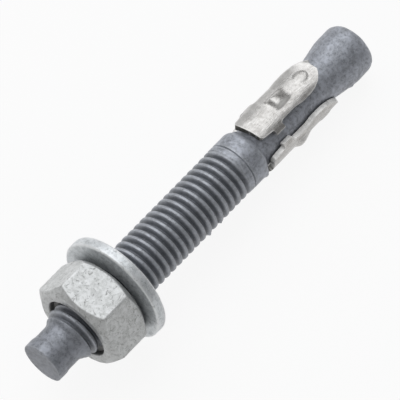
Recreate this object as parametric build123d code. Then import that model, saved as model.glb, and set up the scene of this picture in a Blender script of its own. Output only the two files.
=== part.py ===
from build123d import *
from math import asin, atan2, cos, degrees, hypot, radians, sin, tan
import os

# A wedge anchor lying on its washer's rim and on the end of its cone, in millimetres.
# Each piece is modelled upright on the stud's axis, with the driving end at height 0 and
# the cone on top. The four pieces are then laid down together.

# Stud: dog point, rolled thread, collar, neck and cone.
stud_length = 80.0
dog_end_radius = 3.9
dog_edge_chamfer = 0.35
dog_barrel_length = 1.8
dog_waist_radius = 3.75
dog_step_length = 0.6
dog_waist_end = 4.5
dog_waist_fillet = 2.0
dog_flare_end = 6.0
dog_flare_radius = 4.4
thread_start = 7.2
thread_radius = 4.875
thread_pitch = 1.5
thread_crest_flat = 0.5
thread_flank_angle = 30.0
thread_full_end = 45.4
thread_runout = 2.2
collar_radius = 4.925
collar_end = 51.0
shoulder_length = 1.1
shoulder_radius = 0.9
neck_radius = 3.88
neck_end = 68.9
cone_half_angle = 9.3
cone_radius = 4.95
cone_edge_radius = 1.6

# Expansion clip: one stamped sheet with three leaves, rolled round the neck.
sheet = 0.95
clip_clearance = 0.18
clip_start_gap = 0.3
clip_length = 17.3
leaf_count = 3
leaf_turn = 165.3
leaf_mean_half_width = 3.0
leaf_end_half_width = 2.3
leaf_front_half_width = 2.85
leaf_root_half_width = 3.25
leaf_slot_half_width = 3.0
leaf_wide_half_width = 3.35
leaf_tip_half_width = 1.8
leaf_corner_length = 0.7
leaf_corner_radius = 0.3
bridge_start = 3.1
bridge_width = 2.2
slot_end = 9.4
wide_start = 11.0
wide_end = 13.2
seam_width = 1.45
seam_turn = 222.3
dimple_start = 6.2
dimple_peak = 7.7
dimple_end = 10.3
dimple_height = 0.68
dimple_half_width = 1.4

# Washer and nut.
washer_radius = 10.0
washer_thickness = 2.0
washer_edge_chamfer = 0.25
washer_clearance = 0.375
washer_drop_gap = 0.1
nut_across_flats = 16.0
nut_height = 8.4
nut_start = 8.1
nut_turn = 30.9
nut_face_radius = 7.6
nut_chamfer_angle = 28.0
nut_corner_radius = 0.5
nut_countersink_radius = 5.5
nut_countersink_depth = 0.5
nut_clearance = 0.1
nut_washer_gap = 0.1

# How far cutters run past the surface that they cut.
groove_overcut = 0.12

leaf_angle = 360 / leaf_count
flank = tan(radians(thread_flank_angle))
thread_depth = (thread_pitch - thread_crest_flat) / 2 / flank
root_radius = thread_radius - thread_depth
thread_end = thread_full_end + thread_runout
groove_start = dog_waist_end
clip_bore_radius = neck_radius + clip_clearance
clip_radius = clip_bore_radius + sheet
clip_start = collar_end + shoulder_length + clip_start_gap
clip_end = clip_start + clip_length
bridge_end = bridge_start + bridge_width
leaf_edge_angle = degrees(leaf_mean_half_width / clip_radius)
nut_end = nut_start + nut_height
washer_start = nut_end + nut_washer_gap
washer_end = washer_start + washer_thickness
washer_drop = washer_clearance - washer_drop_gap

upright = (Align.CENTER, Align.CENTER, Align.MIN)


def outline(*corners):
    """A face from corners given as two coordinates and the radius that rounds the corner."""
    points = [corner[:2] for corner in corners]
    radii = [corner[2] for corner in corners]
    return make_face(FilletPolyline(*points, radius=radii, close=True))


def turned(*corners):
    """A solid of revolution from corners given as radius, height and rounding."""
    return revolve(Plane.XZ * outline(*corners), Axis.Z)


def coil(corners, start, turns):
    """A section given as radius and height, swept turn by turn along the thread's helix."""
    points = [(radius, 0, start + height) for radius, height in corners]
    section = Polyline(*points, close=True)
    heights = [start + turn * thread_pitch for turn in range(turns)]
    path = [Helix(thread_pitch, thread_pitch, thread_radius, center=(0, 0, z)) for z in heights]
    return sweep(make_face(section), path=Wire(path), is_frenet=True)


def stud():
    """The turned blank with its thread rolled in, running out before the collar."""
    cone_full = neck_end + (cone_radius - neck_radius) / tan(radians(cone_half_angle))
    blank = turned(
        (0, 0, 0),
        (dog_end_radius - dog_edge_chamfer, 0, 0),
        (dog_end_radius, dog_edge_chamfer, 0),
        (dog_end_radius, dog_barrel_length, 0),
        (dog_waist_radius, dog_barrel_length + dog_step_length, 0),
        (dog_waist_radius, dog_waist_end, dog_waist_fillet),
        (dog_flare_radius, dog_flare_end, 0),
        (thread_radius, thread_start, 0),
        (thread_radius, thread_end, 0),
        (collar_radius, thread_end, 0),
        (collar_radius, collar_end, shoulder_radius),
        (neck_radius, collar_end + shoulder_length, 0),
        (neck_radius, neck_end, 0),
        (cone_radius, cone_full, 0),
        (cone_radius, stud_length, cone_edge_radius),
        (0, stud_length, 0),
    )
    top = thread_radius + groove_overcut
    top_half = (top - root_radius) * flank
    groove = coil(
        [(root_radius, 0), (top, -top_half), (top, top_half)],
        groove_start,
        int((thread_end - groove_start) / thread_pitch) + 1,
    )
    past_end = thread_end + 3 * thread_pitch
    runout = turned(
        (0, thread_full_end, 0),
        (root_radius, thread_full_end, 0),
        (thread_radius, thread_end, 0),
        (collar_radius + 1, thread_end, 0),
        (collar_radius + 1, past_end, 0),
        (0, past_end, 0),
    )
    return blank - (groove - runout)


def pressed(depth=0.0):
    """A leaf's dimple as two cones about a line under the sheet, or the dent of a depth behind it."""
    line_depth = (dimple_half_width**2 - dimple_height**2) / (2 * dimple_height)
    base = line_depth - depth
    dimple = turned(
        (0, dimple_start, 0),
        (base, dimple_start, 0),
        (base + dimple_height, dimple_peak, 0),
        (base, dimple_end, 0),
        (0, dimple_end, 0),
    )
    return Pos(clip_radius - line_depth, 0, clip_start) * dimple


def leaf_side():
    """What is stamped away beside one leaf, ahead of its bridge and behind it."""
    mean = leaf_mean_half_width
    far = clip_radius * sin(radians(leaf_angle / 2 - leaf_edge_angle)) + 0.1
    ahead = outline(
        (leaf_end_half_width - mean, -1, 0),
        (leaf_end_half_width - mean, 0, 0),
        (leaf_front_half_width - mean, leaf_corner_length, leaf_corner_radius),
        (leaf_root_half_width - mean, bridge_start, leaf_corner_radius),
        (far, bridge_start, 0),
        (far, -1, 0),
    )
    behind = outline(
        (leaf_slot_half_width - mean, bridge_end, leaf_corner_radius),
        (leaf_slot_half_width - mean, slot_end, 1.0),
        (leaf_wide_half_width - mean, wide_start, 1.0),
        (leaf_wide_half_width - mean, wide_end, 1.0),
        (leaf_tip_half_width - mean, clip_length, 0),
        (leaf_tip_half_width - mean, clip_length + 1, 0),
        (far, clip_length + 1, 0),
        (far, bridge_end, 0),
    )
    sheet_plane = Plane(origin=(0, 0, clip_start), x_dir=(0, 1, 0), z_dir=(1, 0, 0))
    flat = Sketch() + [sheet_plane * ahead, sheet_plane * behind]
    return Rotation(0, 0, leaf_edge_angle) * extrude(flat, clip_radius * 2)


def expansion_clip():
    """Three leaves joined by bridges, with one bridge left open as the rolled seam."""
    clip = turned(
        (0, clip_start, 0),
        (clip_radius, clip_start, 0),
        (clip_radius, clip_end, 0),
        (0, clip_end, 0),
    )
    turns = [Rotation(0, 0, leaf_turn + leaf * leaf_angle) for leaf in range(leaf_count)]
    for turn in turns:
        clip += turn * pressed()
    clip -= Pos(0, 0, clip_start) * Cylinder(clip_bore_radius, clip_length, align=upright)
    side = leaf_side()
    for turn in turns:
        clip -= turn * pressed(sheet)
        clip -= turn * side
        clip -= turn * mirror(side, about=Plane.XZ)
    seam = Box(clip_radius * 2, seam_width, clip_length, align=(Align.MIN, Align.CENTER, Align.MIN))
    return clip - Rotation(0, 0, seam_turn) * Pos(0, 0, clip_start) * seam


def washer():
    """A plain round washer, dropped in its clearance so that its rim bears on the ground."""
    bore = thread_radius + washer_clearance
    ring = turned(
        (bore, washer_start, 0),
        (washer_radius - washer_edge_chamfer, washer_start, 0),
        (washer_radius, washer_start + washer_edge_chamfer, 0),
        (washer_radius, washer_end - washer_edge_chamfer, 0),
        (washer_radius - washer_edge_chamfer, washer_end, 0),
        (bore, washer_end, 0),
    )
    return Pos(-washer_drop, 0, 0) * ring


def hex_nut():
    """A hexagon chamfered at both ends, with a countersunk hole that runs on the thread."""
    hexagon = RegularPolygon(nut_across_flats / 2, 6, major_radius=False)
    hexagon = fillet(hexagon.vertices(), nut_corner_radius)
    prism = extrude(Pos(0, 0, nut_start) * Rotation(0, 0, nut_turn) * hexagon, nut_height)
    corner_radius = nut_across_flats
    chamfer_drop = (corner_radius - nut_face_radius) * tan(radians(nut_chamfer_angle))
    blank = prism & turned(
        (0, nut_start, 0),
        (nut_face_radius, nut_start, 0),
        (corner_radius, nut_start + chamfer_drop, 0),
        (corner_radius, nut_end - chamfer_drop, 0),
        (nut_face_radius, nut_end, 0),
        (0, nut_end, 0),
    )
    bore = thread_radius + nut_clearance
    hole = turned(
        (0, nut_start, 0),
        (nut_countersink_radius, nut_start, 0),
        (bore, nut_start + nut_countersink_depth, 0),
        (bore, nut_end - nut_countersink_depth, 0),
        (nut_countersink_radius, nut_end, 0),
        (0, nut_end, 0),
    )
    return blank - hole


def lie_down():
    """The move that lays the axis on the washer's rim and the cone's end."""
    washer_rim = (washer_end - washer_edge_chamfer, washer_radius - washer_drop)
    cone_rim = (stud_length - cone_edge_radius, cone_radius - cone_edge_radius)
    run = cone_rim[0] - washer_rim[0]
    fall = washer_rim[1] - cone_rim[1]
    tilt = atan2(fall, run) - asin(cone_edge_radius / hypot(run, fall))
    height = washer_rim[0] * sin(tilt) + washer_rim[1] * cos(tilt)
    return Pos(0, 0, height) * Rotation(0, 90 + degrees(tilt), 0)


pieces = {
    "stud": stud(),
    "expansion_clip": expansion_clip(),
    "washer": washer(),
    "hex_nut": hex_nut(),
}
laid = {name: lie_down() * piece for name, piece in pieces.items()}
box = Compound(list(laid.values())).bounding_box()
os.makedirs("parts", exist_ok=True)
for name, piece in laid.items():
    export_step(Pos(-box.center().X, 0, 0) * piece, f"parts/{name}.step")
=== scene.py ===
import math
import bmesh
import bpy
from mathutils import Matrix, Vector, noise


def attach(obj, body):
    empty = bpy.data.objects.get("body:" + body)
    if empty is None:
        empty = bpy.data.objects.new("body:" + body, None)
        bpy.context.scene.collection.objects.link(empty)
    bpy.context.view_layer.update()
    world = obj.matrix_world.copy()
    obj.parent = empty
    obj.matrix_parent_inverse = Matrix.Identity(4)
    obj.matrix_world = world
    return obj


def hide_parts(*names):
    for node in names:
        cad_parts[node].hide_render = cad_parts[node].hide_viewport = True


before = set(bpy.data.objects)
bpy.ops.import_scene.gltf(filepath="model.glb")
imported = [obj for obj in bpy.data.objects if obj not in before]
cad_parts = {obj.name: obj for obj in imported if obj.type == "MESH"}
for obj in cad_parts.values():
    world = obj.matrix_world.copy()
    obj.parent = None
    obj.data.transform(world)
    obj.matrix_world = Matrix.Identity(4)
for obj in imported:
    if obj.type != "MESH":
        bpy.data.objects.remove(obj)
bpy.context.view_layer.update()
print("frame loaded")

# The camera and the lamps
view = {
    "azimuth": -49.532,
    "elevation": 66.002,
    "roll": -0.131,
    "distance": 0.45,
    "lens": 243.495,
    "sensor": 36,
    "reach": (0.01, 10),
    "aim": (-0.000427, 0.000244, 0.007926),
}
lamps = {
    "keyBox": {
        "toward": (0.22, 0.53, 0.826),
        "distance": 0.6,
        "size": 0.75,
        "radiance": 1.68,
        "colour": (0.97, 0.985, 1.0),
    },
    "fillBox": {
        "toward": (-0.86, -0.22, 0.46),
        "distance": 0.7,
        "size": 0.3,
        "radiance": 0.5,
        "colour": (1.0, 0.985, 0.94),
    },
}


# Unit vectors to the right, up and back from a camera that looks from an azimuth and elevation.
def viewAxes(azimuth, elevation, roll):
    az, el = math.radians(azimuth), math.radians(elevation)
    back = Vector((math.sin(az) * math.cos(el), -math.cos(az) * math.cos(el), math.sin(el)))
    right = Vector((math.cos(az), math.sin(az), 0))
    turn = Matrix.Rotation(math.radians(roll), 3, back)
    return turn @ right, turn @ back.cross(right), back


def placeCamera():
    right, up, back = viewAxes(view["azimuth"], view["elevation"], view["roll"])
    data = bpy.data.cameras.new("camera")
    data.lens = view["lens"]
    data.sensor_width = view["sensor"]
    data.clip_start, data.clip_end = view["reach"]
    camera = bpy.data.objects.new("camera", data)
    spot = Vector(view["aim"]) + back * view["distance"]
    camera.matrix_world = Matrix.Translation(spot) @ Matrix((right, up, back)).transposed().to_4x4()
    bpy.context.scene.collection.objects.link(camera)
    bpy.context.scene.camera = camera


# A square lamp of even radiance, aimed at the middle of the anchor.
def addLamp(name, box):
    data = bpy.data.lights.new(name, "AREA")
    data.shape = "SQUARE"
    data.size = box["size"]
    data.energy = box["radiance"] * math.pi * box["size"] ** 2
    data.color = box["colour"]
    lamp = bpy.data.objects.new(name, data)
    away = Vector(box["toward"]).normalized()
    turn = away.to_track_quat("Z", "Y").to_matrix().to_4x4()
    lamp.matrix_world = Matrix.Translation(away * box["distance"]) @ turn
    bpy.context.scene.collection.objects.link(lamp)


placeCamera()
for name, box in lamps.items():
    addLamp(name, box)
print("camera and lamps placed")


# Shader helpers
# A node whose inputs are set from plain values or linked from other nodes' outputs.
def put(tree, kind, inputs=None, **settings):
    made = tree.nodes.new("ShaderNode" + kind)
    for name, value in settings.items():
        setattr(made, name, value)
    for name, value in (inputs or {}).items():
        if isinstance(value, bpy.types.NodeSocket):
            tree.links.new(value, made.inputs[name])
        else:
            made.inputs[name].default_value = value
    return made


def mixColour(tree, factor, first, second):
    made = put(tree, "Mix", {0: factor, 6: first, 7: second}, data_type="RGBA", blend_type="MIX")
    return made.outputs[2]


def calculate(tree, operation, first, second=0.0, clamp=False):
    return put(tree, "Math", {0: first, 1: second}, operation=operation, use_clamp=clamp).outputs[0]


def times(tree, first, second, clamp=False):
    return calculate(tree, "MULTIPLY", first, second, clamp)


def plus(tree, first, second, clamp=False):
    return calculate(tree, "ADD", first, second, clamp)


def ramp(tree, value, low, high, toLow=0.0, toHigh=1.0):
    names = {"Value": value, "From Min": low, "From Max": high, "To Min": toLow, "To Max": toHigh}
    return put(tree, "MapRange", names, interpolation_type="SMOOTHSTEP").outputs[0]


# The value that a piece's mesh holds at each point under a name.
def marked(tree, name):
    return put(tree, "Attribute", attribute_name=name, attribute_type="GEOMETRY").outputs["Fac"]


def startGroup(name, inputs, outputs):
    tree = bpy.data.node_groups.new(name, "ShaderNodeTree")
    for title, value in inputs.items():
        made = tree.interface.new_socket(title, in_out="INPUT", socket_type="NodeSocketFloat")
        made.default_value = value
    for title in outputs:
        tree.interface.new_socket(title, in_out="OUTPUT", socket_type="NodeSocketFloat")
    return tree, tree.nodes.new("NodeGroupInput"), tree.nodes.new("NodeGroupOutput")


def placeGroup(tree, group, values):
    made = tree.nodes.new("ShaderNodeGroup")
    made.node_tree = group
    for name, value in values.items():
        made.inputs[name].default_value = value
    return made


def startMaterial(name):
    made = bpy.data.materials.new(name)
    made.use_nodes = True
    made.node_tree.nodes.clear()
    return made, made.node_tree


# The anchor's own axis
# Every piece is made upright in millimetres, with the dog end at height 0, and then laid down.
lie = {"dogEnd": (-0.039869, 0.0, 0.0111475), "tilt": 4.54165, "scale": 0.001}
layDown = (
    Matrix.Translation(lie["dogEnd"])
    @ Matrix.Rotation(math.radians(90 + lie["tilt"]), 4, "Y")
    @ Matrix.Scale(lie["scale"], 4)
)


# Object coordinates turned back upright, in millimetres.
def uprightPlace(tree):
    spot = put(tree, "TexCoord").outputs["Object"]
    turn = (0, math.radians(90 + lie["tilt"]), 0)
    names = {"Vector": spot, "Location": lie["dogEnd"], "Rotation": turn, "Scale": [lie["scale"]] * 3}
    return put(tree, "Mapping", names, vector_type="TEXTURE").outputs[0]


# Zinc coat: soft patches, fine grain, scattered pits with fine cracks, and the height of them all.
coatForm = {
    "warp": {"scale": 0.9, "reach": 1.1},
    "patches": {"broad": 0.72, "cells": 0.42, "cellScale": 1.9, "low": 0.36, "high": 0.72},
    "grain": {"scale": 5.5, "low": 0.32, "high": 0.68},
    "pits": {"scale": 1.15, "grain": 0.6, "broad": 0.5, "reach": 1.12, "core": 0.8},
    "cracks": {"scale": 0.95, "width": 0.07, "placeScale": 1.7, "low": 0.5, "high": 0.62},
    "height": {"broad": 0.5, "grain": 0.35, "pits": 0.45},
}


def zincCoatGroup():
    names = {"Patch Size": 2.0, "Pit Share": 0.5, "Crack Share": 0.0}
    tree, given, out = startGroup("zincCoat", names, ["Patches", "Grain", "Pits", "Height"])
    place = uprightPlace(tree)

    # A coordinate pushed about by a soft noise, so that nothing lies in rows.
    form = coatForm["warp"]
    warp = put(tree, "TexNoise", {"Vector": place, "Scale": form["scale"], "Detail": 2.0}).outputs["Color"]
    bent = put(tree, "VectorMath", {0: warp, 1: [form["reach"]] * 3}, operation="MULTIPLY").outputs[0]
    moved = put(tree, "VectorMath", {0: place, 1: bent}, operation="ADD").outputs[0]

    form = coatForm["patches"]
    patchScale = calculate(tree, "DIVIDE", 1.0, given.outputs["Patch Size"])
    names = {"Vector": moved, "Scale": patchScale, "Detail": 4.0, "Roughness": 0.62}
    broad = put(tree, "TexNoise", names).outputs[0]
    names = {"Vector": moved, "Scale": form["cellScale"]}
    cells = put(tree, "TexVoronoi", names, feature="SMOOTH_F1").outputs["Distance"]
    patches = plus(tree, times(tree, broad, form["broad"]), times(tree, cells, form["cells"]))
    tree.links.new(ramp(tree, patches, form["low"], form["high"]), out.inputs["Patches"])

    form = coatForm["grain"]
    names = {"Vector": place, "Scale": form["scale"], "Detail": 5.0, "Roughness": 0.7}
    grain = put(tree, "TexNoise", names).outputs[0]
    tree.links.new(ramp(tree, grain, form["low"], form["high"]), out.inputs["Grain"])

    form = coatForm["pits"]
    names = {"Vector": moved, "Scale": form["scale"], "Randomness": 1.0}
    spots = put(tree, "TexVoronoi", names, feature="F1").outputs["Distance"]
    ragged = plus(tree, spots, times(tree, grain, form["grain"]))
    ragged = plus(tree, ragged, times(tree, broad, form["broad"]))
    reach = times(tree, given.outputs["Pit Share"], form["reach"])
    pits = ramp(tree, ragged, times(tree, reach, form["core"]), reach, 1.0, 0.0)

    form = coatForm["cracks"]
    names = {"Vector": moved, "Scale": form["scale"]}
    rift = put(tree, "TexVoronoi", names, feature="DISTANCE_TO_EDGE").outputs["Distance"]
    here = put(tree, "TexNoise", {"Vector": place, "Scale": form["placeScale"], "Detail": 2.0}).outputs[0]
    thin = ramp(tree, rift, 0.0, form["width"], 1.0, 0.0)
    cracks = times(tree, thin, ramp(tree, here, form["low"], form["high"]))
    pits = calculate(tree, "MAXIMUM", pits, times(tree, cracks, given.outputs["Crack Share"]))
    tree.links.new(pits, out.inputs["Pits"])

    form = coatForm["height"]
    height = plus(tree, times(tree, broad, form["broad"]), times(tree, grain, form["grain"]))
    height = calculate(tree, "SUBTRACT", height, times(tree, pits, form["pits"]))
    tree.links.new(height, out.inputs["Height"])
    return tree


# Fine lines along the axis, with a few longer scuffs across them.
scuffForm = {
    "stretch": (1.0, 1.0, 0.08), "lines": (0.35, 0.65),
    "slant": (0.5, 0.7, 0.3), "slantStretch": (3.5, 0.5, 0.9), "slantScale": 2.6, "scuffs": (0.60, 0.72),
}


def scuffsGroup():
    tree, given, out = startGroup("scuffs", {"Fineness": 8.0}, ["Lines", "Scuffs"])
    place = uprightPlace(tree)
    long = put(tree, "Mapping", {"Vector": place, "Scale": scuffForm["stretch"]}).outputs[0]
    names = {"Vector": long, "Scale": given.outputs["Fineness"], "Detail": 3.0}
    lines = put(tree, "TexNoise", names).outputs[0]
    names = {"Vector": place, "Rotation": scuffForm["slant"], "Scale": scuffForm["slantStretch"]}
    slant = put(tree, "Mapping", names).outputs[0]
    names = {"Vector": slant, "Scale": scuffForm["slantScale"], "Detail": 4.0, "Roughness": 0.6}
    marks = put(tree, "TexNoise", names).outputs[0]
    tree.links.new(ramp(tree, lines, *scuffForm["lines"]), out.inputs["Lines"])
    tree.links.new(ramp(tree, marks, *scuffForm["scuffs"]), out.inputs["Scuffs"])
    return tree


# 1 nearer the axis than Inner and 0 past Outer, between two heights, and 0 above and below them.
def grooveGroup():
    names = {"Inner": 4.0, "Outer": 5.0, "From": 0.0, "To": 80.0}
    tree, given, out = startGroup("grooveMask", names, ["Mask"])
    parts = put(tree, "SeparateXYZ", {0: uprightPlace(tree)})
    flat = put(tree, "CombineXYZ", {"X": parts.outputs["X"], "Y": parts.outputs["Y"]}).outputs[0]
    reach = put(tree, "VectorMath", {0: flat}, operation="LENGTH").outputs["Value"]
    deep = ramp(tree, reach, given.outputs["Inner"], given.outputs["Outer"], 1.0, 0.0)
    above = calculate(tree, "GREATER_THAN", parts.outputs["Z"], given.outputs["From"])
    below = calculate(tree, "LESS_THAN", parts.outputs["Z"], given.outputs["To"])
    tree.links.new(times(tree, deep, times(tree, above, below)), out.inputs["Mask"])
    return tree


zincCoat, scuffs, grooveMask = zincCoatGroup(), scuffsGroup(), grooveGroup()


# Darkens a colour by a share where a groove mask is 1: painted shade in the thread's grooves and the nut's
# bore, and also the stud's plain darker bands.
def shaded(tree, colour, reach, heights, share, darker):
    values = dict(zip(("Inner", "Outer", "From", "To"), (*reach, *heights)))
    mask = placeGroup(tree, grooveMask, values).outputs["Mask"]
    return mixColour(tree, times(tree, mask, share), colour, darker)


# What all the galvanised pieces share. Their bands reach from the axis past every surface.
galvanising = {
    "fineness": 9.0, "pitShade": 0.7, "pitRoughness": 0.12, "bumpReach": 0.00012, "bandReach": (90, 100),
}


# Galvanised steel: dark and light zinc in patches, darker pits and paler rubbed edges, with painted shade in
# the thread's grooves, inside the nut's bore and on faces that face along the axis.
def galvanised(name, look):
    made, tree = startMaterial(name)
    shares = {
        "Patch Size": look["patchSize"], "Pit Share": look["pitShare"], "Crack Share": look["crackShare"],
    }
    coat = placeGroup(tree, zincCoat, shares)
    marks = placeGroup(tree, scuffs, {"Fineness": galvanising["fineness"]})
    colour = mixColour(tree, coat.outputs["Patches"], look["dark"], look["light"])
    colour = mixColour(tree, times(tree, coat.outputs["Grain"], look["grain"]), colour, look["bloom"])
    for start, end, share in look.get("bands", []):
        colour = shaded(tree, colour, galvanising["bandReach"], (start, end), share, look["rootShadeColour"])
    # Painted shade on faces that face along the axis: the nut's end faces, chamfers and countersinks are
    # mixed towards the pit colour.
    if "axisFacingShade" in look:
        colour = mixColour(tree, times(tree, marked(tree, "axisFacingShade"), look["axisFacingShade"]), colour, look["pit"])
    # Painted shade in the thread's grooves, or inside the nut's bore.
    if "rootShadeReach" in look:
        roots = look["rootShadeReach"], look["rootShadeHeights"], look["rootShadeShare"]
        colour = shaded(tree, colour, *roots, look["rootShadeColour"])
    edges = times(tree, marked(tree, "worn"), look["rub"], clamp=True)
    rubbed = calculate(tree, "MAXIMUM", edges, times(tree, marks.outputs["Scuffs"], look["scuff"]))
    colour = mixColour(tree, rubbed, colour, look["bare"])
    pits = coat.outputs["Pits"]
    colour = mixColour(tree, times(tree, pits, galvanising["pitShade"]), colour, look["pit"])
    rough = ramp(tree, coat.outputs["Grain"], 0.0, 1.0, *look["roughness"])
    rough = plus(tree, rough, times(tree, pits, galvanising["pitRoughness"]), clamp=True)
    names = {"Strength": look["bump"], "Distance": galvanising["bumpReach"], "Height": coat.outputs["Height"]}
    bump = put(tree, "Bump", names)
    surface = put(tree, "BsdfPrincipled", {
        "Base Color": colour, "Metallic": look["metallic"], "Roughness": rough, "Normal": bump.outputs[0],
    })
    put(tree, "OutputMaterial", {"Surface": surface.outputs[0]})
    return made


# Rolled stainless sheet: finely lined along its length, duller where scuffed and pale where sheared, with
# painted shade on its front end face.
def stainless(name, look):
    made, tree = startMaterial(name)
    marks = placeGroup(tree, scuffs, {"Fineness": look["fineness"]})
    coat = placeGroup(tree, zincCoat, {"Patch Size": look["patchSize"], "Pit Share": look["pitShare"]})
    worn = marked(tree, "worn")
    scuffed = marks.outputs["Scuffs"]
    colour = mixColour(tree, coat.outputs["Patches"], look["dark"], look["light"])
    colour = mixColour(tree, times(tree, scuffed, look["scuff"]), colour, look["scuffColour"])
    colour = mixColour(tree, times(tree, worn, look["rub"], clamp=True), colour, look["bare"])
    # Painted shade on the front end face, which sits in the collar shoulder's shadow.
    colour = mixColour(tree, marked(tree, "frontEndShade"), colour, look["frontEndShadeColour"])
    rough = ramp(tree, marks.outputs["Lines"], 0.0, 1.0, *look["roughness"])
    rough = plus(tree, rough, times(tree, scuffed, look["scuffRoughness"]), clamp=True)
    rough = plus(tree, rough, times(tree, worn, look["rubRoughness"]), clamp=True)
    metal = calculate(tree, "SUBTRACT", 1.0, times(tree, worn, look["rubDullness"]), clamp=True)
    height = plus(tree, times(tree, marks.outputs["Lines"], look["lineHeight"]), coat.outputs["Height"])
    bump = put(tree, "Bump", {"Strength": look["bump"], "Distance": look["bumpReach"], "Height": height})
    surface = put(tree, "BsdfPrincipled", {
        "Base Color": colour, "Metallic": metal, "Roughness": rough, "Normal": bump.outputs[0],
    })
    put(tree, "OutputMaterial", {"Surface": surface.outputs[0]})
    return made


print("shaders made")

# Shaping helpers
# Welds and gaps are in millimetres. An edge is hard past the sharp angle, in degrees.
meshing = {
    "cornerCuts": 5, "halvings": 7, "latheWeld": 0.0005, "coilWeld": 0.002, "pieceWeld": 0.0008,
    "cutGap": 0.0002, "easings": 2, "sharpAngle": 40, "fineNoiseShift": (9, 4, 7),
}


# Adds an open or closed line of (radius, height, rounding) corners, rounded and cut to short edges, and
# turns it about the axis.
def lathe(bm, corners, steps, longest, closed=False):
    own = bmesh.new()
    verts = [own.verts.new((radius, 0, height)) for radius, height, rounding in corners]
    for first, second in zip(verts, verts[1:] + verts[:1] * closed):
        own.edges.new((first, second))
    for vert, (radius, height, rounding) in zip(verts, corners):
        if rounding:
            bmesh.ops.bevel(own, geom=[vert], offset=rounding, offset_type="OFFSET",
                            segments=meshing["cornerCuts"], profile=0.5, affect="VERTICES", material=-1)
    shorten(own, longest, False)
    bmesh.ops.spin(own, geom=own.verts[:] + own.edges[:], cent=(0, 0, 0), axis=(0, 0, 1), angle=math.tau,
                   steps=steps, use_merge=True)
    bmesh.ops.remove_doubles(own, verts=own.verts, dist=meshing["latheWeld"])
    join(bm, own)


# Moves one bmesh into another.
def join(bm, own):
    mesh = bpy.data.meshes.new("part")
    own.to_mesh(mesh)
    own.free()
    bm.from_mesh(mesh)
    bpy.data.meshes.remove(mesh)


# Cuts every edge that is longer than a length in half until none is.
def shorten(bm, longest, fill=True):
    for _ in range(meshing["halvings"]):
        wide = [edge for edge in bm.edges if edge.calc_length() > longest]
        if not wide:
            return
        bmesh.ops.subdivide_edges(bm, edges=wide, cuts=1, use_grid_fill=fill)


# Spins one pitch of a thread's form, as (along, out) points, into one helical turn, and stacks its copies.
def coil(bm, form, radius, pitch, start, turns, steps):
    own = bmesh.new()
    verts = [own.verts.new((radius + out, 0, start + along)) for along, out in form]
    for first, second in zip(verts, verts[1:]):
        own.edges.new((first, second))
    bmesh.ops.spin(own, geom=own.verts[:] + own.edges[:], cent=(0, 0, 0), axis=(0, 0, 1),
                   dvec=(0, 0, pitch / steps), angle=math.tau, steps=steps, use_merge=False)
    turn = bpy.data.meshes.new("turn")
    own.to_mesh(turn)
    for _ in range(turns - 1):
        bmesh.ops.translate(own, verts=own.verts, vec=(0, 0, pitch))
        own.from_mesh(turn)
    bpy.data.meshes.remove(turn)
    bmesh.ops.remove_doubles(own, verts=own.verts, dist=meshing["coilWeld"])
    join(bm, own)


# Cuts the mesh off square at a height, keeping what is above or below it.
def cutOff(bm, height, above):
    everything = bm.verts[:] + bm.edges[:] + bm.faces[:]
    bmesh.ops.bisect_plane(bm, geom=everything, plane_co=(0, 0, height), plane_no=(0, 0, 1),
                           dist=meshing["cutGap"], clear_inner=above, clear_outer=not above)


# Joins the two open rims that lie near a height.
def joinRims(bm, height, reach):
    rims = [edge for edge in bm.edges if edge.is_boundary and abs(edge.verts[0].co.z - height) < reach]
    bmesh.ops.bridge_loops(bm, edges=rims)


# Closes what is open at the axis or at a rim, and makes all faces point outwards.
def closeUp(bm):
    bmesh.ops.remove_doubles(bm, verts=bm.verts, dist=meshing["pieceWeld"])
    bmesh.ops.holes_fill(bm, edges=[edge for edge in bm.edges if edge.is_boundary], sides=0)
    bmesh.ops.recalc_face_normals(bm, faces=bm.faces)


# Moves the surface in and out by a coarse and a fine noise, each given as its reach and its size, and by the
# share of them that share(point) gives.
def unevenCoat(bm, coarse, fine, share=None):
    bm.normal_update()
    shift = Vector(meshing["fineNoiseShift"])
    moves = []
    for vert in bm.verts:
        broad = coarse[0] * noise.noise(vert.co / coarse[1])
        amount = broad + fine[0] * noise.noise(vert.co / fine[1] + shift)
        moves.append(vert.normal * amount * (share(vert.co) if share else 1))
    for vert, move in zip(bm.verts, moves):
        vert.co += move


# Marks each point that is sheared or turns outwards, up to 1 at a full turn in radians, for rubbed edges.
def markWorn(bm, full):
    layer = bm.verts.layers.float.new("worn")
    sheared = bm.verts.layers.float.get("sheared")
    for vert in bm.verts:
        turns = [edge.calc_face_angle_signed(0) for edge in vert.link_edges]
        vert[layer] = min(1, max(0, max(turns, default=0) / full, vert[sheared] if sheared else 0))
    for _ in range(meshing["easings"]):
        eased = []
        for vert in bm.verts:
            around = [edge.other_vert(vert)[layer] for edge in vert.link_edges]
            eased.append(sum(around) / max(1, len(around)))
        for vert, value in zip(bm.verts, eased):
            vert[layer] = 0.5 * vert[layer] + 0.5 * value


# Lays a finished upright mesh down in its place and hands it to its body.
def finishPiece(name, bm, body, node, material, wornTurn):
    markWorn(bm, wornTurn)
    for edge in bm.edges:
        edge.smooth = edge.calc_face_angle(0) < math.radians(meshing["sharpAngle"])
    for face in bm.faces:
        face.smooth = True
    bm.transform(layDown)
    mesh = bpy.data.meshes.new(name)
    bm.to_mesh(mesh)
    triangles = sum(len(face.verts) - 2 for face in bm.faces)
    openEdges = sum(not edge.is_manifold for edge in bm.edges)
    bm.free()
    mesh.materials.append(material)
    piece = bpy.data.objects.new(name, mesh)
    bpy.context.scene.collection.objects.link(piece)
    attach(piece, body)
    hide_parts(node)
    print(f"{name}: {triangles} triangles, {openEdges} open edges")


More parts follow.
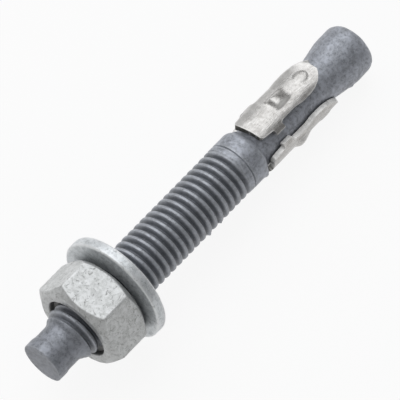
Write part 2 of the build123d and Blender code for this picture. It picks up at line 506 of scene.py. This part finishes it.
# The thread, on the stud and in the nut
thread = {
    "radius": 4.875, "pitch": 1.5, "start": 4.5, "fullEnd": 45.6, "runout": 1.5, "rootRadius": 4.009,
    # One pitch of its form, as (along, out) points.
    "form": [(-0.75, -0.74), (-0.66, -0.715), (-0.58, -0.62), (-0.28, -0.08), (-0.23, -0.02), (-0.15, 0.0),
             (0.15, 0.0), (0.23, -0.02), (0.28, -0.08), (0.58, -0.62), (0.66, -0.715), (0.75, -0.74)],
}

# The stud
stud = {
    "steps": 112, "threadSteps": 96, "longest": 0.42, "waistEnd": 4.5, "collarStart": 47.2,
    "spareTurns": 4, "earlyTurns": 1.5, "overlap": 0.1, "rimReach": 0.4, "runoutBlend": 0.2,
    # Corners as (radius, height, rounding): the dog point, then the collar, its ring, the neck and the cone.
    "dog": [(0, 0, 0), (3.88, 0, 0.2), (3.9, 1.8, 0.4), (3.75, 2.4, 0.4), (3.75, 4.5, 0)],
    "head": [(4.885, 47.2, 0), (4.905, 47.68, 0), (4.88, 47.78, 0), (4.67, 47.9, 0), (4.67, 48.0, 0),
             (4.89, 48.12, 0), (4.925, 48.25, 0), (4.925, 51.25, 0.62), (3.88, 52.25, 0.3), (3.88, 68.9, 0.6),
             (4.95, 75.434, 0.8), (4.95, 80.1, 1.6), (0, 80.1, 0)],
    # The blank that the thread is rolled in, as (radius, height).
    "blank": [(3.75, 4.5), (3.78, 4.9), (3.9, 5.3), (4.4, 6.0), (4.875, 7.2), (4.875, 46.8), (4.885, 47.2),
              (4.885, 60)],
    # Lumps of zinc: where each sits, its reach in degrees, its length along the axis and its rise.
    "lumps": [
        {"height": 47.94, "turn": 208, "reach": 8, "length": 0.5, "rise": 0.14},  # in the collar's ring
        {"height": 51.35, "turn": 286, "reach": 26, "length": 0.75, "rise": 0.42},  # lip at the collar's end
        {"height": 74.2, "turn": 286, "reach": 9, "length": 0.5, "rise": 0.22},  # on the cone
        {"height": 36.2, "turn": 284, "reach": 12, "length": 0.5, "rise": 0.28},  # on the thread
        {"height": 39.0, "turn": 285, "reach": 10, "length": 0.5, "rise": 0.3},  # on the thread
        {"height": 51.9, "turn": 136, "reach": 7, "length": 0.5, "rise": 0.35},  # on the shoulder
    ],
    "lumpsOutside": 3, "coarse": (0.05, 2.2), "fine": (0.02, 0.55), "threadUneven": 0.45, "wornTurn": 0.7,
    "zinc": {
        "dark": (0.15, 0.16, 0.18, 1), "light": (0.37, 0.39, 0.445, 1), "bloom": (0.54, 0.56, 0.61, 1),
        "bare": (0.55, 0.57, 0.60, 1), "pit": (0.06, 0.06, 0.065, 1), "rootShadeColour": (0.065, 0.07, 0.082, 1),
        "grain": 0.5, "rub": 0.7, "scuff": 0.35, "patchSize": 1.3, "pitShare": 0.54, "crackShare": 0.5,
        # Darker bands, as (from, to, share): the end face, the dog point and the thread.
        "bands": [(-5, 0.1, 0.42), (0.1, 6.6, 0.3), (6.6, 46.8, 0.14)],
        # The thread's grooves get painted shade: darkened towards the root shade colour nearer the axis than
        # the reach.
        "rootShadeReach": (4.5, 4.84), "rootShadeHeights": (6.6, 48.3), "rootShadeShare": 0.74,
        "roughness": (0.34, 0.52), "bump": 0.7, "metallic": 0.45,
    },
}


# The value of a line of (value, place) points at a place.
def along(line, place):
    for (low, first), (high, second) in zip(line, line[1:]):
        if place <= second:
            return low + (high - low) * max(0, place - first) / max(1e-6, second - first)
    return line[-1][0]


# A smooth mound from 1 at a lump's middle to 0 at its reach.
def mound(point, lump):
    turn = math.degrees(math.atan2(point.y, point.x))
    aside = ((turn - lump["turn"] + 180) % 360 - 180) / lump["reach"]
    near = math.hypot(aside, (point.z - lump["height"]) / lump["length"])
    return 0 if near >= 1 else (1 - near * near) ** 2


# Lets the thread's grooves run out before the collar, and its crests no further out than the blank.
def fitThread(bm):
    end = thread["fullEnd"]
    for vert in bm.verts:
        radius = math.hypot(vert.co.x, vert.co.y)
        rise = (vert.co.z - end) / thread["runout"]
        floor = thread["rootRadius"] + (thread["radius"] - thread["rootRadius"]) * rise
        blank = along(stud["blank"], vert.co.z)
        fair = min(blank, max(radius, floor if rise > 0 else 0))
        if vert.co.z > end + thread["runout"] - stud["runoutBlend"]:
            fair = blank
        vert.co.x *= fair / radius
        vert.co.y *= fair / radius


def addLumps(bm):
    for vert in bm.verts:
        radius = math.hypot(vert.co.x, vert.co.y)
        if radius < stud["lumpsOutside"]:
            continue
        move = sum(lump["rise"] * mound(vert.co, lump) for lump in stud["lumps"])
        vert.co.x *= 1 + move / radius
        vert.co.y *= 1 + move / radius


def makeStud():
    bm = bmesh.new()
    pitch, low, high, overlap = thread["pitch"], stud["waistEnd"], stud["collarStart"], stud["overlap"]
    turns = int((high - low) / pitch) + stud["spareTurns"]
    first = thread["start"] - stud["earlyTurns"] * pitch
    coil(bm, thread["form"], thread["radius"], pitch, first, turns, stud["threadSteps"])
    cutOff(bm, low + overlap, True)
    cutOff(bm, high - overlap, False)
    fitThread(bm)
    for corners in (stud["dog"], stud["head"]):
        lathe(bm, corners, stud["steps"], stud["longest"])
    joinRims(bm, low + overlap / 2, stud["rimReach"])
    joinRims(bm, high - overlap / 2, stud["rimReach"])
    closeUp(bm)
    threadEnd, threadShare = thread["fullEnd"], stud["threadUneven"]
    unevenCoat(bm, stud["coarse"], stud["fine"], lambda spot: threadShare if low < spot.z < threadEnd else 1)
    addLumps(bm)
    zinc = galvanised("studZinc", stud["zinc"])
    finishPiece("galvanisedStud", bm, "stud", "stud", zinc, stud["wornTurn"])


makeStud()

# The nut
nut = {
    "sides": 6, "flats": 16.0, "start": 8.1, "height": 8.4, "turn": 30.9, "corner": 0.29, "cornerCuts": 4,
    "faceRadius": 7.35, "slope": 38, "mouth": 5.95, "wall": 5.65, "bore": 5.03,
    "wallDepth": 1.1, "sinkDepth": 1.4,
    "wallRounding": 0.15, "sinkRounding": 0.32, "faceRounding": 0.16, "edgeRounding": 0.2, "roundingCuts": 4,
    "longest": 0.5, "wallLongest": 0.65,
    "clearance": 0.1, "threadTurns": 9, "earlyTurns": 2, "threadSteps": 84, "rimReach": 0.02,
    "unevenOutside": 5.2, "coarse": (0.05, 2.4), "fine": (0.02, 0.6), "axisFacingShadeGain": 1.6, "wornTurn": 0.7,
    "zinc": {
        "dark": (0.40, 0.41, 0.40, 1), "light": (0.65, 0.66, 0.66, 1), "bloom": (0.84, 0.85, 0.86, 1),
        "bare": (0.86, 0.87, 0.87, 1), "pit": (0.13, 0.13, 0.12, 1), "rootShadeColour": (0.05, 0.05, 0.048, 1),
        "grain": 0.5, "rub": 0.7, "scuff": 0.2, "patchSize": 1.5, "pitShare": 0.6, "crackShare": 0.8,
        # Painted shade: the bore is darkened inside the root shade reach, and the faces that face along the
        # axis are darkened too.
        "axisFacingShade": 0.2, "rootShadeReach": (5.82, 6.02), "rootShadeHeights": (0, 20), "rootShadeShare": 0.88,
        "roughness": (0.28, 0.48), "bump": 0.6, "metallic": 0.4,
    },
}


# A line of (radius, height, rounding) corners with each corner cut into a short curve.
def rounded(corners, cuts):
    points = [Vector(corner[:2]) for corner in corners]
    made = [points[0]]
    for before, corner, after, (_, _, size) in zip(points, points[1:], points[2:], corners[1:]):
        start = corner + (before - corner).normalized() * size
        end = corner + (after - corner).normalized() * size
        for cut in range(cuts + 1):
            share = cut / cuts
            made.append(start.lerp(corner, share).lerp(corner.lerp(end, share), share))
    return made + [points[-1]]


# The nut's section from its lower bore to its upper one, where its side is at a reach from the axis.
def nutSection(reach):
    low, high = nut["start"], nut["start"] + nut["height"]
    drop = (reach - nut["faceRadius"]) * math.tan(math.radians(nut["slope"]))
    wall, sink, face, edge = (nut[name + "Rounding"] for name in ("wall", "sink", "face", "edge"))
    return rounded([
        (nut["bore"], low + nut["sinkDepth"], 0), (nut["wall"], low + nut["wallDepth"], wall),
        (nut["mouth"], low, sink), (nut["faceRadius"], low, face), (reach, low + drop, edge),
        (reach, high - drop, edge), (nut["faceRadius"], high, face), (nut["mouth"], high, sink),
        (nut["wall"], high - nut["wallDepth"], wall), (nut["bore"], high - nut["sinkDepth"], 0),
    ], nut["roundingCuts"])


# A point's turn about the axis, rounded so that points in line share it.
def turnOf(vert):
    return round(math.atan2(vert.co.y, vert.co.x), 3)


# The nut's outside with its two mouths: a hexagon whose every point runs along its own section.
def addHexagon(bm):
    apothem, halfSide = nut["flats"] / 2, 180 / nut["sides"]
    radius = apothem / math.cos(math.radians(halfSide))
    ring = bmesh.ops.create_circle(bm, segments=nut["sides"], radius=radius, cap_ends=False)["verts"]
    turn = Matrix.Rotation(math.radians(nut["turn"] - halfSide), 3, "Z")
    bmesh.ops.rotate(bm, verts=ring, cent=(0, 0, 0), matrix=turn)
    bmesh.ops.bevel(bm, geom=ring, offset=nut["corner"], offset_type="OFFSET", segments=nut["cornerCuts"],
                    profile=0.5, affect="VERTICES", material=-1)
    shorten(bm, nut["longest"], False)
    sections = {turnOf(vert): nutSection(vert.co.xy.length) for vert in bm.verts}
    rim, moved = bm.edges[:], bm.verts[:]
    for level in range(len(nutSection(apothem))):
        if level:
            made = bmesh.ops.extrude_edge_only(bm, edges=rim)["geom"]
            moved = [item for item in made if isinstance(item, bmesh.types.BMVert)]
            rim = [item for item in made if isinstance(item, bmesh.types.BMEdge)]
        for vert in moved:
            radius, height = sections[turnOf(vert)][level]
            vert.co = Vector((*(vert.co.xy.normalized() * radius), height))
    shorten(bm, nut["wallLongest"])


def makeNut():
    bm = bmesh.new()
    addHexagon(bm)
    own = bmesh.new()
    pitch, low = thread["pitch"], nut["start"] + nut["sinkDepth"]
    high = nut["start"] + nut["height"] - nut["sinkDepth"]
    first = thread["start"] + pitch * (math.ceil((low - thread["start"]) / pitch) - nut["earlyTurns"])
    radius = thread["radius"] + nut["clearance"]
    coil(own, thread["form"], radius, pitch, first, nut["threadTurns"], nut["threadSteps"])
    cutOff(own, low, True)
    cutOff(own, high, False)
    join(bm, own)
    joinRims(bm, low, nut["rimReach"])
    joinRims(bm, high, nut["rimReach"])
    closeUp(bm)
    outside = nut["unevenOutside"]
    unevenCoat(bm, nut["coarse"], nut["fine"], lambda spot: math.hypot(spot.x, spot.y) > outside)
    bm.normal_update()
    # Faces that face along the axis are marked for painted shade.
    axisFacingShade = bm.verts.layers.float.new("axisFacingShade")
    for vert in bm.verts:
        vert[axisFacingShade] = min(1, nut["axisFacingShadeGain"] * abs(vert.normal.z))
    zinc = galvanised("nutZinc", nut["zinc"])
    finishPiece("hexNut", bm, "nut", "hex_nut", zinc, nut["wornTurn"])


makeNut()

# The washer
washer = {
    "radius": 10.0, "bore": 5.25, "start": 16.6, "thickness": 2.0, "rounding": 0.34, "boreRounding": 0.25,
    "drop": 0.275, "lean": 3.5, "shift": 0.35,
    "steps": 160, "longest": 0.5, "coarse": (0.05, 2.6), "fine": (0.015, 0.6), "wornTurn": 0.4,
    "zinc": {
        "dark": (0.35, 0.38, 0.395, 1), "light": (0.66, 0.69, 0.71, 1), "bloom": (0.86, 0.88, 0.90, 1),
        "bare": (0.88, 0.89, 0.90, 1), "pit": (0.16, 0.17, 0.17, 1),
        # rub is strong here: the pale rubbed edges are partly wear and partly a painted highlight along the
        # rounded rim edges.
        "grain": 0.55, "rub": 1.0, "scuff": 0.25, "patchSize": 1.4, "pitShare": 0.58, "crackShare": 0.6,
        "roughness": (0.28, 0.46), "bump": 0.6, "metallic": 0.5,
    },
}


def makeWasher():
    bm = bmesh.new()
    low, high = washer["start"], washer["start"] + washer["thickness"]
    inner, outer, rim, hole = washer["bore"], washer["radius"], washer["rounding"], washer["boreRounding"]
    corners = [(inner, low, hole), (outer, low, rim), (outer, high, rim), (inner, high, hole)]
    lathe(bm, corners, washer["steps"], washer["longest"], closed=True)
    closeUp(bm)
    unevenCoat(bm, washer["coarse"], washer["fine"])
    lean = Matrix.Rotation(math.radians(washer["lean"]), 3, "Y")
    bmesh.ops.rotate(bm, verts=bm.verts, cent=(0, 0, (low + high) / 2), matrix=lean)
    bmesh.ops.translate(bm, verts=bm.verts, vec=(-washer["drop"], 0, washer["shift"]))
    zinc = galvanised("washerZinc", washer["zinc"])
    finishPiece("flatWasher", bm, "washer", "washer", zinc, washer["wornTurn"])


makeWasher()

# The expansion clip
clip = {
    "sheet": 0.95, "radius": 5.01, "start": 52.7, "length": 17.0, "middleTurn": 45.3, "leaves": 3,
    # Half of a leaf's width, as (half width, height).
    "outline": [(2.5, 0), (2.95, 0.5), (3.25, 2.9), (3.25, 5.2), (3.0, 5.6), (3.0, 9.2), (3.35, 10.8),
                (3.35, 12.8), (3.15, 14.1), (2.7, 15.3), (2.05, 16.2), (1.4, 16.75), (1.0, 17.0)],
    "across": 32, "along": 96,  # steps of each leaf's grid
    "bridge": (3.05, 5.2), "bridgeCuts": 10, "seam": (213.9, 238.0), "stubCuts": 5,
    # The top leaf is lifted along its far side and slants at its front. The far leaf has a narrower front.
    "topLeaf": 1, "edgeLift": 0.1, "farLift": 0.42, "slant": 0.09, "slantLength": 3,
    "farLeaf": 0, "farFront": 0.78, "farGrowth": 0.08,
    "dimple": {"start": 5.8, "peak": 7.3, "end": 10.5, "halfWidth": 1.36, "squareness": 5, "rise": 0.68},
    "pip": {"middle": 13.9, "halfLength": 1.4, "halfWidth": 1.2, "rise": 0.17},
    "sharpAngle": 60, "rounding": 0.11, "roundingCuts": 2, "coarse": (0.025, 3.0), "fine": (0.005, 0.7),
    "sideGap": 0.02, "rungGap": 0.01, "placeGap": 0.001,
    # Painted shade on the front end face, within a short length from the sheet's start, where it sits in the
    # collar shoulder's shadow.
    "shearedGain": 1.5, "frontEndShadeLength": 0.6, "wornTurn": 0.7,
    "steel": {
        "dark": (0.335, 0.323, 0.31, 1), "light": (0.475, 0.463, 0.45, 1),
        "scuffColour": (0.30, 0.287, 0.27, 1), "bare": (0.95, 0.94, 0.92, 1),
        # The colour of the painted shade on the front end face.
        "frontEndShadeColour": (0.07, 0.068, 0.055, 1),
        "patchSize": 1.6, "pitShare": 0.2, "scuff": 0.5, "rub": 0.85, "fineness": 9.0,
        "roughness": (0.2, 0.34), "scuffRoughness": 0.18, "rubRoughness": 0.25, "rubDullness": 0.7,
        "lineHeight": 0.2, "bump": 0.09, "bumpReach": 0.0001,
    },
}


# How far the sheet stands out at a place on a leaf, given across it and along it.
def pressedOut(across, height):
    dimple, pip = clip["dimple"], clip["pip"]
    if height < dimple["peak"]:
        length = (height - dimple["start"]) / (dimple["peak"] - dimple["start"])
    else:
        length = (dimple["end"] - height) / (dimple["end"] - dimple["peak"])
    length = max(0, min(1, length))
    side = max(0, 1 - (abs(across) / dimple["halfWidth"]) ** dimple["squareness"])
    rise = dimple["rise"] * side * length * length * (3 - 2 * length)
    far = math.hypot(across / pip["halfWidth"], (height - pip["middle"]) / pip["halfLength"])
    return rise + pip["rise"] * max(0, 1 - far * far) ** 0.5


# One leaf of the flat sheet, as a grid whose z is how far it will stand out from the rolled sheet.
def addLeaf(bm, leaf, spacing):
    grid = bmesh.ops.create_grid(bm, x_segments=clip["across"], y_segments=clip["along"], size=1)["verts"]
    for vert in grid:
        across, height = vert.co.x, (vert.co.y + 1) / 2 * clip["length"]
        wide = across * along(clip["outline"], height)
        if leaf == clip["farLeaf"]:
            wide *= min(1, clip["farFront"] + height * clip["farGrowth"])
        lift = clip["edgeLift"] * across * across + pressedOut(wide, height)
        lean = 0
        if leaf == clip["topLeaf"]:
            lean = clip["slant"] * wide * max(0, 1 - height / clip["slantLength"])
            if across < 0:
                lift += clip["farLift"] * across * across
        vert.co = Vector((leaf * spacing + wide, height + lean, lift))


# The edges on one side of a leaf that a bridge grows from.
def sideEdges(bm, leaf, side, spacing):
    step = clip["length"] / clip["along"]
    low, high = (round(height / step) * step for height in clip["bridge"])
    found = []
    for edge in bm.edges:
        spots = [vert.co for vert in edge.verts]
        sides = [leaf * spacing + side * along(clip["outline"], spot.y) for spot in spots]
        aside = max(abs(place - spot.x) for place, spot in zip(sides, spots))
        inBridge = all(low - clip["rungGap"] < spot.y < high + clip["rungGap"] for spot in spots)
        if edge.is_boundary and aside < clip["sideGap"] and inBridge:
            found.append(edge)
    return found


# Whether an edge runs across the leaves.
def isRung(edge):
    return abs(edge.verts[0].co.y - edge.verts[1].co.y) < clip["rungGap"]


# Bridges the middle leaf to both others, and grows a stub from each outer side towards the seam.
def addBridges(bm, spacing):
    for leaf in (-1, 0):
        rims = sideEdges(bm, leaf, 1, spacing) + sideEdges(bm, leaf + 1, -1, spacing)
        made = bmesh.ops.bridge_loops(bm, edges=rims)
        rungs = [edge for edge in made["edges"] if isRung(edge)]
        bmesh.ops.subdivide_edges(bm, edges=rungs, cuts=clip["bridgeCuts"], use_grid_fill=True)
    upperTurn, lowerTurn = clip["seam"]
    for side, turn in ((1, upperTurn), (-1, lowerTurn - 360)):
        place = math.radians(turn - clip["middleTurn"]) * clip["radius"]
        made = bmesh.ops.extrude_edge_only(bm, edges=sideEdges(bm, side, side, spacing))["geom"]
        for vert in (item for item in made if isinstance(item, bmesh.types.BMVert)):
            vert.co.x = place
        rungs = [edge for edge in bm.edges
                 if isRung(edge) and any(abs(vert.co.x - place) < clip["placeGap"] for vert in edge.verts)]
        bmesh.ops.subdivide_edges(bm, edges=rungs, cuts=clip["stubCuts"], use_grid_fill=True)


# Rolls the flat sheet round the axis, with its outer face outwards.
def rollUp(bm):
    radius = clip["radius"]
    for vert in bm.verts:
        turn = math.radians(clip["middleTurn"]) + vert.co.x / radius
        reach = radius + vert.co.z
        vert.co = Vector((reach * math.cos(turn), reach * math.sin(turn), clip["start"] + vert.co.y))
    bmesh.ops.recalc_face_normals(bm, faces=bm.faces)
    outward = 0
    for face in bm.faces:
        middle = face.calc_center_median()
        outward += face.normal.dot(Vector((middle.x, middle.y, 0)))
    if outward < 0:
        bmesh.ops.reverse_faces(bm, faces=bm.faces)
    bm.normal_update()


# Marks the sheared edges, which face round the axis, and the front end face, which the material darkens as
# painted shade.
def markSheet(bm):
    sheared, frontEndShade = bm.verts.layers.float.new("sheared"), bm.verts.layers.float.new("frontEndShade")
    for vert in bm.verts:
        outwards = Vector((vert.co.x, vert.co.y, 0)).normalized()
        around = Vector((-outwards.y, outwards.x, 0))
        vert[sheared] = min(1, clip["shearedGain"] * abs(vert.normal.dot(around)))
        if vert.co.z < clip["start"] + clip["frontEndShadeLength"]:
            vert[frontEndShade] = max(0, -vert.normal.z)


def makeClip():
    bm = bmesh.new()
    spacing = math.tau * clip["radius"] / clip["leaves"]
    for leaf in (-1, 0, 1):
        addLeaf(bm, leaf, spacing)
    addBridges(bm, spacing)
    rollUp(bm)
    bmesh.ops.solidify(bm, geom=bm.faces[:], thickness=clip["sheet"])
    bmesh.ops.recalc_face_normals(bm, faces=bm.faces)
    bm.normal_update()
    sharp = [edge for edge in bm.edges if edge.calc_face_angle(0) > math.radians(clip["sharpAngle"])]
    bmesh.ops.bevel(bm, geom=sharp, offset=clip["rounding"], offset_type="OFFSET", profile=0.5,
                    segments=clip["roundingCuts"], affect="EDGES", clamp_overlap=True, material=-1)
    unevenCoat(bm, clip["coarse"], clip["fine"])
    bm.normal_update()
    markSheet(bm)
    steel = stainless("clipSteel", clip["steel"])
    finishPiece("expansionClip", bm, "clip", "expansion_clip", steel, clip["wornTurn"])


makeClip()

# The floor and the air round the anchor
studio = {
    "floorColour": (0.58, 0.58, 0.58, 1), "floorRoughness": 0.9, "floorSize": 3.0,
    "white": 0.86, "glow": 1.05, "airStrength": 0.29,
}


# 1 for rays that come from the camera, a mirror or glass, so that they see the white background.
def seenRay(tree):
    path = put(tree, "LightPath").outputs
    seen = calculate(tree, "MAXIMUM", path["Is Camera Ray"], path["Is Glossy Ray"])
    return calculate(tree, "MAXIMUM", seen, path["Is Transmission Ray"])


# A pale floor that keeps the shadow, with a share of plain white for the rays that see it.
def makeFloor():
    made, tree = startMaterial("paleFloor")
    names = {"Base Color": studio["floorColour"], "Roughness": studio["floorRoughness"]}
    plain = put(tree, "BsdfPrincipled", names)
    glow = put(tree, "Emission", {"Color": (1, 1, 1, 1), "Strength": studio["glow"]})
    share = times(tree, seenRay(tree), studio["white"])
    both = put(tree, "MixShader", {0: share, 1: plain.outputs[0], 2: glow.outputs[0]})
    put(tree, "OutputMaterial", {"Surface": both.outputs[0]})
    bm = bmesh.new()
    bmesh.ops.create_grid(bm, x_segments=1, y_segments=1, size=studio["floorSize"])
    mesh = bpy.data.meshes.new("floor")
    bm.to_mesh(mesh)
    bm.free()
    mesh.materials.append(made)
    floor = bpy.data.objects.new("floor", mesh)
    bpy.context.scene.collection.objects.link(floor)


def makeAir():
    world = bpy.data.worlds.new("air")
    world.use_nodes = True
    tree = world.node_tree
    tree.nodes.clear()
    air = put(tree, "Background", {"Color": (1, 1, 1, 1), "Strength": studio["airStrength"]})
    put(tree, "OutputWorld", {"Surface": air.outputs[0]})
    bpy.context.scene.world = world


makeFloor()
makeAir()
bpy.context.scene.view_settings.view_transform = "Standard"
print("studio made")
